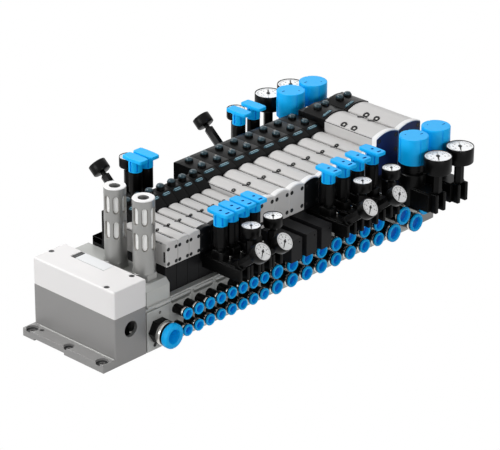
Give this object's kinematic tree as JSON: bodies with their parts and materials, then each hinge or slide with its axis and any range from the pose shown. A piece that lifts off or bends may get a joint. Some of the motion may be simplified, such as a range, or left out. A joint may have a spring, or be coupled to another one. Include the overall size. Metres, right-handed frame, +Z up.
{
  "type": "pneumatic valve island",
  "caption": "Modular valve terminal: a row of sub-bases with push-in fittings carries light grey valves with black pilots, blue regulator knobs, gauges and two silencers.",
  "frame": {"origin": "middle of the four base bolts, on the mounting plane", "axes": "+X along the row from the electrical end to the large valves, -Y towards the push-in fittings, +Z up"},
  "size_m": [0.5982, 0.3594, 0.191],
  "materials": {
    "aluminium_casting": "die-cast aluminium, fine blasted",
    "cover_plastic": "off-white moulded plastic",
    "screw_steel": "zinc plated steel",
    "board_green": "circuit board with plastic terminals",
    "supply_casting": "die-cast aluminium, light",
    "silencer_metal": "turned light metal",
    "fitting_blue": "blue release ring on a black body",
    "black_plastic": "black glass-filled plastic",
    "dial_white": "white printed dial under a lens",
    "valve_grey": "light warm grey housing",
    "cap_grey": "mid grey plastic",
    "knob_blue": "blue moulded plastic",
    "button_black": "black plastic"
  },
  "bodies": {
    "island": {"electrical_housing": "aluminium_casting", "electrical_cover": "cover_plastic", "cover_screws": "screw_steel", "terminal_board": "board_green", "supply_plate": "supply_casting", "mufflers": "silencer_metal", "sub_bases": "aluminium_casting", "end_plate": "aluminium_casting", "push_in_fittings": "fitting_blue", "stacking_plates": "black_plastic", "regulator_bodies": "black_plastic", "pressure_gauges": "black_plastic", "gauge_dials": "dial_white", "valve_bodies": "valve_grey", "valve_end_caps": "cap_grey", "pilot_heads": "black_plastic"},
    "knob_front_small_4": {"knob_front_small_4": "knob_blue"},
    "knob_front_small_5": {"knob_front_small_5": "knob_blue"},
    "knob_front_small_6": {"knob_front_small_6": "knob_blue"},
    "knob_front_small_7": {"knob_front_small_7": "knob_blue"},
    "knob_front_medium_4": {"knob_front_medium_4": "knob_blue"},
    "knob_front_medium_5": {"knob_front_medium_5": "knob_blue"},
    "knob_front_medium_6": {"knob_front_medium_6": "knob_blue"},
    "knob_front_medium_7": {"knob_front_medium_7": "knob_blue"},
    "knob_front_large_1": {"knob_front_large_1": "knob_blue"},
    "knob_front_large_2": {"knob_front_large_2": "knob_blue"},
    "knob_back_small_6": {"knob_back_small_6": "knob_blue"},
    "knob_back_small_7": {"knob_back_small_7": "knob_blue"},
    "knob_back_medium_6": {"knob_back_medium_6": "knob_blue"},
    "knob_back_medium_7": {"knob_back_medium_7": "knob_blue"},
    "knob_back_large_1": {"knob_back_large_1": "knob_blue"},
    "knob_back_large_2": {"knob_back_large_2": "knob_blue"},
    "button_small_1_a": {"button_small_1_a": "button_black"},
    "button_small_2_a": {"button_small_2_a": "button_black"},
    "button_small_3_a": {"button_small_3_a": "button_black"},
    "button_small_4_a": {"button_small_4_a": "button_black"},
    "button_small_5_a": {"button_small_5_a": "button_black"},
    "button_small_6_a": {"button_small_6_a": "button_black"},
    "button_small_7_a": {"button_small_7_a": "button_black"},
    "button_small_8_a": {"button_small_8_a": "button_black"},
    "button_medium_1_a": {"button_medium_1_a": "button_black"},
    "button_medium_1_b": {"button_medium_1_b": "button_black"},
    "button_medium_2_a": {"button_medium_2_a": "button_black"},
    "button_medium_2_b": {"button_medium_2_b": "button_black"},
    "button_medium_3_a": {"button_medium_3_a": "button_black"},
    "button_medium_3_b": {"button_medium_3_b": "button_black"},
    "button_medium_4_a": {"button_medium_4_a": "button_black"},
    "button_medium_4_b": {"button_medium_4_b": "button_black"},
    "button_medium_5_a": {"button_medium_5_a": "button_black"},
    "button_medium_5_b": {"button_medium_5_b": "button_black"},
    "button_medium_6_a": {"button_medium_6_a": "button_black"},
    "button_medium_6_b": {"button_medium_6_b": "button_black"},
    "button_medium_7_a": {"button_medium_7_a": "button_black"},
    "button_medium_7_b": {"button_medium_7_b": "button_black"},
    "button_medium_8_a": {"button_medium_8_a": "button_black"},
    "button_medium_8_b": {"button_medium_8_b": "button_black"},
    "button_large_1_a": {"button_large_1_a": "button_black"},
    "button_large_1_b": {"button_large_1_b": "button_black"},
    "button_large_2_a": {"button_large_2_a": "button_black"},
    "button_large_2_b": {"button_large_2_b": "button_black"}
  },
  "joints": [
    {"name": "knob_front_small_4_pull", "type": "slide", "parent": "island", "child": "knob_front_small_4", "axis": [0, 0, 1], "range_m": [0, 0.004]},
    {"name": "knob_front_small_5_pull", "type": "slide", "parent": "island", "child": "knob_front_small_5", "axis": [0, 0, 1], "range_m": [0, 0.004]},
    {"name": "knob_front_small_6_pull", "type": "slide", "parent": "island", "child": "knob_front_small_6", "axis": [0, 0, 1], "range_m": [0, 0.004]},
    {"name": "knob_front_small_7_pull", "type": "slide", "parent": "island", "child": "knob_front_small_7", "axis": [0, 0, 1], "range_m": [0, 0.004]},
    {"name": "knob_front_medium_4_turn", "type": "hinge", "parent": "island", "child": "knob_front_medium_4", "pos_m": [0.05815, -0.0995, 0.14], "axis": [0, 0, 1], "range_deg": [0, 1080]},
    {"name": "knob_front_medium_5_turn", "type": "hinge", "parent": "island", "child": "knob_front_medium_5", "pos_m": [0.08515, -0.0995, 0.14], "axis": [0, 0, 1], "range_deg": [0, 1080]},
    {"name": "knob_front_medium_6_turn", "type": "hinge", "parent": "island", "child": "knob_front_medium_6", "pos_m": [0.11215, -0.0995, 0.14], "axis": [0, 0, 1], "range_deg": [0, 1080]},
    {"name": "knob_front_medium_7_turn", "type": "hinge", "parent": "island", "child": "knob_front_medium_7", "pos_m": [0.13915, -0.0995, 0.14], "axis": [0, 0, 1], "range_deg": [0, 1080]},
    {"name": "knob_front_large_1_turn", "type": "hinge", "parent": "island", "child": "knob_front_large_1", "pos_m": [0.20115, -0.1145, 0.14], "axis": [0, 0, 1], "range_deg": [0, 1080]},
    {"name": "knob_front_large_2_turn", "type": "hinge", "parent": "island", "child": "knob_front_large_2", "pos_m": [0.24415, -0.1145, 0.14], "axis": [0, 0, 1], "range_deg": [0, 1080]},
    {"name": "knob_back_small_6_pull", "type": "slide", "parent": "island", "child": "knob_back_small_6", "axis": [0, 0, 1], "range_m": [0, 0.004]},
    {"name": "knob_back_small_7_pull", "type": "slide", "parent": "island", "child": "knob_back_small_7", "axis": [0, 0, 1], "range_m": [0, 0.004]},
    {"name": "knob_back_medium_6_turn", "type": "hinge", "parent": "island", "child": "knob_back_medium_6", "pos_m": [0.11215, 0.1045, 0.14], "axis": [0, 0, 1], "range_deg": [0, 1080]},
    {"name": "knob_back_medium_7_turn", "type": "hinge", "parent": "island", "child": "knob_back_medium_7", "pos_m": [0.13915, 0.1045, 0.14], "axis": [0, 0, 1], "range_deg": [0, 1080]},
    {"name": "knob_back_large_1_turn", "type": "hinge", "parent": "island", "child": "knob_back_large_1", "pos_m": [0.20115, 0.0965, 0.14], "axis": [0, 0, 1], "range_deg": [0, 1080]},
    {"name": "knob_back_large_2_turn", "type": "hinge", "parent": "island", "child": "knob_back_large_2", "pos_m": [0.24415, 0.0965, 0.14], "axis": [0, 0, 1], "range_deg": [0, 1080]},
    {"name": "button_small_1_a_press", "type": "slide", "parent": "island", "child": "button_small_1_a", "axis": [0, 0, -1], "range_m": [0, 0.001], "stiffness_N_per_m": 800},
    {"name": "button_small_2_a_press", "type": "slide", "parent": "island", "child": "button_small_2_a", "axis": [0, 0, -1], "range_m": [0, 0.001], "stiffness_N_per_m": 800},
    {"name": "button_small_3_a_press", "type": "slide", "parent": "island", "child": "button_small_3_a", "axis": [0, 0, -1], "range_m": [0, 0.001], "stiffness_N_per_m": 800},
    {"name": "button_small_4_a_press", "type": "slide", "parent": "island", "child": "button_small_4_a", "axis": [0, 0, -1], "range_m": [0, 0.001], "stiffness_N_per_m": 800},
    {"name": "button_small_5_a_press", "type": "slide", "parent": "island", "child": "button_small_5_a", "axis": [0, 0, -1], "range_m": [0, 0.001], "stiffness_N_per_m": 800},
    {"name": "button_small_6_a_press", "type": "slide", "parent": "island", "child": "button_small_6_a", "axis": [0, 0, -1], "range_m": [0, 0.001], "stiffness_N_per_m": 800},
    {"name": "button_small_7_a_press", "type": "slide", "parent": "island", "child": "button_small_7_a", "axis": [0, 0, -1], "range_m": [0, 0.001], "stiffness_N_per_m": 800},
    {"name": "button_small_8_a_press", "type": "slide", "parent": "island", "child": "button_small_8_a", "axis": [0, 0, -1], "range_m": [0, 0.001], "stiffness_N_per_m": 800},
    {"name": "button_medium_1_a_press", "type": "slide", "parent": "island", "child": "button_medium_1_a", "axis": [0, 0, -1], "range_m": [0, 0.001], "stiffness_N_per_m": 800},
    {"name": "button_medium_1_b_press", "type": "slide", "parent": "island", "child": "button_medium_1_b", "axis": [0, 0, -1], "range_m": [0, 0.001], "stiffness_N_per_m": 800},
    {"name": "button_medium_2_a_press", "type": "slide", "parent": "island", "child": "button_medium_2_a", "axis": [0, 0, -1], "range_m": [0, 0.001], "stiffness_N_per_m": 800},
    {"name": "button_medium_2_b_press", "type": "slide", "parent": "island", "child": "button_medium_2_b", "axis": [0, 0, -1], "range_m": [0, 0.001], "stiffness_N_per_m": 800},
    {"name": "button_medium_3_a_press", "type": "slide", "parent": "island", "child": "button_medium_3_a", "axis": [0, 0, -1], "range_m": [0, 0.001], "stiffness_N_per_m": 800},
    {"name": "button_medium_3_b_press", "type": "slide", "parent": "island", "child": "button_medium_3_b", "axis": [0, 0, -1], "range_m": [0, 0.001], "stiffness_N_per_m": 800},
    {"name": "button_medium_4_a_press", "type": "slide", "parent": "island", "child": "button_medium_4_a", "axis": [0, 0, -1], "range_m": [0, 0.001], "stiffness_N_per_m": 800},
    {"name": "button_medium_4_b_press", "type": "slide", "parent": "island", "child": "button_medium_4_b", "axis": [0, 0, -1], "range_m": [0, 0.001], "stiffness_N_per_m": 800},
    {"name": "button_medium_5_a_press", "type": "slide", "parent": "island", "child": "button_medium_5_a", "axis": [0, 0, -1], "range_m": [0, 0.001], "stiffness_N_per_m": 800},
    {"name": "button_medium_5_b_press", "type": "slide", "parent": "island", "child": "button_medium_5_b", "axis": [0, 0, -1], "range_m": [0, 0.001], "stiffness_N_per_m": 800},
    {"name": "button_medium_6_a_press", "type": "slide", "parent": "island", "child": "button_medium_6_a", "axis": [0, 0, -1], "range_m": [0, 0.001], "stiffness_N_per_m": 800},
    {"name": "button_medium_6_b_press", "type": "slide", "parent": "island", "child": "button_medium_6_b", "axis": [0, 0, -1], "range_m": [0, 0.001], "stiffness_N_per_m": 800},
    {"name": "button_medium_7_a_press", "type": "slide", "parent": "island", "child": "button_medium_7_a", "axis": [0, 0, -1], "range_m": [0, 0.001], "stiffness_N_per_m": 800},
    {"name": "button_medium_7_b_press", "type": "slide", "parent": "island", "child": "button_medium_7_b", "axis": [0, 0, -1], "range_m": [0, 0.001], "stiffness_N_per_m": 800},
    {"name": "button_medium_8_a_press", "type": "slide", "parent": "island", "child": "button_medium_8_a", "axis": [0, 0, -1], "range_m": [0, 0.001], "stiffness_N_per_m": 800},
    {"name": "button_medium_8_b_press", "type": "slide", "parent": "island", "child": "button_medium_8_b", "axis": [0, 0, -1], "range_m": [0, 0.001], "stiffness_N_per_m": 800},
    {"name": "button_large_1_a_press", "type": "slide", "parent": "island", "child": "button_large_1_a", "axis": [0, 0, -1], "range_m": [0, 0.001], "stiffness_N_per_m": 800},
    {"name": "button_large_1_b_press", "type": "slide", "parent": "island", "child": "button_large_1_b", "axis": [0, 0, -1], "range_m": [0, 0.001], "stiffness_N_per_m": 800},
    {"name": "button_large_2_a_press", "type": "slide", "parent": "island", "child": "button_large_2_a", "axis": [0, 0, -1], "range_m": [0, 0.001], "stiffness_N_per_m": 800},
    {"name": "button_large_2_b_press", "type": "slide", "parent": "island", "child": "button_large_2_b", "axis": [0, 0, -1], "range_m": [0, 0.001], "stiffness_N_per_m": 800}
  ]
}
